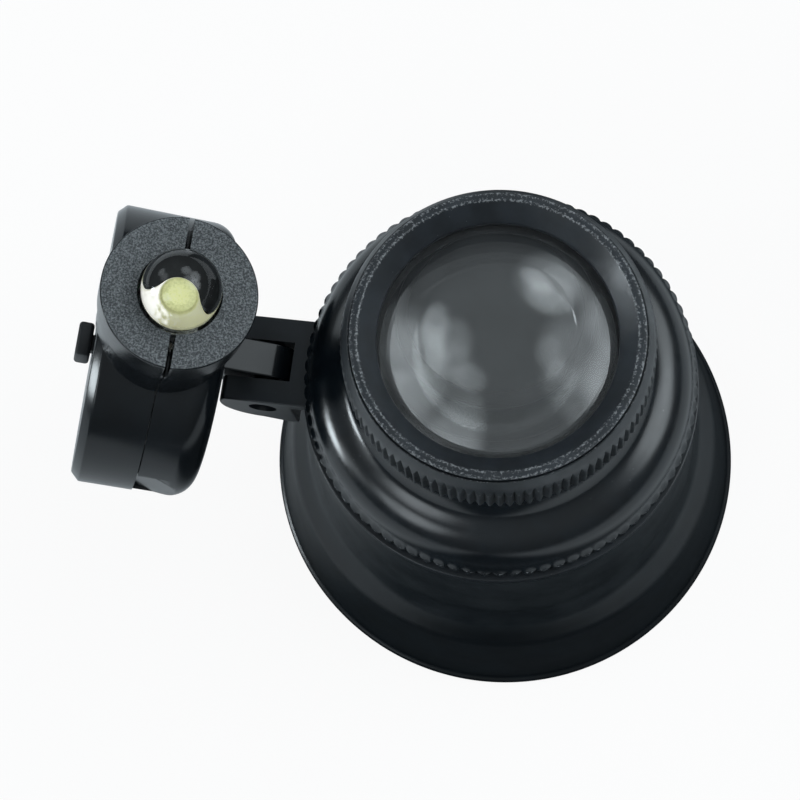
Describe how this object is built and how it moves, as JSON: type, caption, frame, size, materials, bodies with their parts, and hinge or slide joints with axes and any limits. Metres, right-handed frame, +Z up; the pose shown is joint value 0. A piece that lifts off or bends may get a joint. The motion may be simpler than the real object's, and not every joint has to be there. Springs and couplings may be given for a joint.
{
  "type": "jewelers loupe",
  "caption": "Single-eye jeweller's loupe: flared eye cup, screw-in lens barrel, and a tilting dome-lamp head with a round coin-cell housing on a swivel arm.",
  "frame": {"origin": "under the middle of the whole object's box, in the plane of the eye cup's rim; the optical axis stands at x = 6.53 mm", "axes": "+Z up the optical axis from the eye cup to the front lens; the lamp arm reaches out along -X; +Y across the lamp's hinge pin"},
  "size_m": [0.0524, 0.0392, 0.0445],
  "materials": {
    "cup_plastic": "black moulded plastic, satin",
    "clamp_metal": "black anodised, semi-gloss",
    "barrel_metal": "black anodised, satin, worn at the edges",
    "ring_metal": "black anodised, satin, worn at the edges",
    "spacer_metal": "matte black",
    "optical_glass": "polished clear glass",
    "bracket_plastic": "black moulded plastic, satin",
    "pin_steel": "blackened steel",
    "housing_plastic": "black moulded plastic, glossy with a spark-eroded lamp face",
    "led_resin": "water-clear epoxy",
    "phosphor": "pale yellow-green phosphor",
    "lead_steel": "tinned wire",
    "board_green": "green solder mask",
    "resistor_ceramic": "black chip body",
    "switch_metal": "folded steel can",
    "knob_plastic": "black moulded plastic, satin",
    "contact_nickel": "nickel-plated strip",
    "cell_steel": "brushed stainless can"
  },
  "bodies": {
    "eye_cup_body": {"eye_cup": "cup_plastic"},
    "clamp_ring_body": {"clamp_ring": "clamp_metal"},
    "lens_cell": {"front_retaining_ring": "ring_metal", "front_lens": "optical_glass", "lens_spacer": "spacer_metal", "rear_lens": "optical_glass", "rear_retaining_ring": "ring_metal"},
    "barrel_body": {"lens_barrel": "barrel_metal"},
    "bracket": {"bracket_arm": "bracket_plastic", "hinge_pin": "pin_steel"},
    "lamp_base": {"lamp_inner_shell": "housing_plastic", "negative_contact": "contact_nickel", "battery_cell_inner": "cell_steel", "battery_cell_outer": "cell_steel"},
    "lamp_cover": {"lamp_outer_shell": "housing_plastic", "led_lens": "led_resin", "led_emitter": "phosphor", "led_lead_positive": "lead_steel", "led_lead_negative": "lead_steel", "circuit_board": "board_green", "resistor": "resistor_ceramic", "switch_body": "switch_metal", "positive_contact": "contact_nickel"},
    "switch_slider": {"switch_knob": "knob_plastic"}
  },
  "joints": [
    {"name": "clamp_ring_turn", "type": "hinge", "parent": "eye_cup_body", "child": "clamp_ring_body", "pos_m": [0.00653, 0, 0.028], "axis": [0, 0, 1], "range_deg": [0, 45]},
    {"name": "focus_travel", "type": "slide", "parent": "clamp_ring_body", "child": "lens_cell", "axis": [0, 0, 1], "range_m": [0, 0.00225]},
    {"name": "focus_turn", "type": "hinge", "parent": "lens_cell", "child": "barrel_body", "pos_m": [0.00653, 0, 0.036], "axis": [0, 0, 1], "range_deg": [0, 1080]},
    {"name": "bracket_swivel", "type": "hinge", "parent": "eye_cup_body", "child": "bracket", "pos_m": [0.00653, 0, 0.0254], "axis": [0, 0, 1], "continuous": true},
    {"name": "lamp_tilt", "type": "hinge", "parent": "bracket", "child": "lamp_base", "pos_m": [-0.01042, 0, 0.0243], "axis": [0, 1, 0], "range_deg": [-30, 15]},
    {"name": "cover_pull", "type": "slide", "parent": "lamp_base", "child": "lamp_cover", "axis": [-0.9483, 0, 0.3173], "range_m": [0, 0.009]},
    {"name": "switch_slide", "type": "slide", "parent": "lamp_cover", "child": "switch_slider", "axis": [0.3173, 0, 0.9483], "range_m": [0, 0.002]}
  ],
  "couplings": [
    {"joint": "focus_turn", "follows": "focus_travel", "rad_per_m": 8377.6}
  ]
}
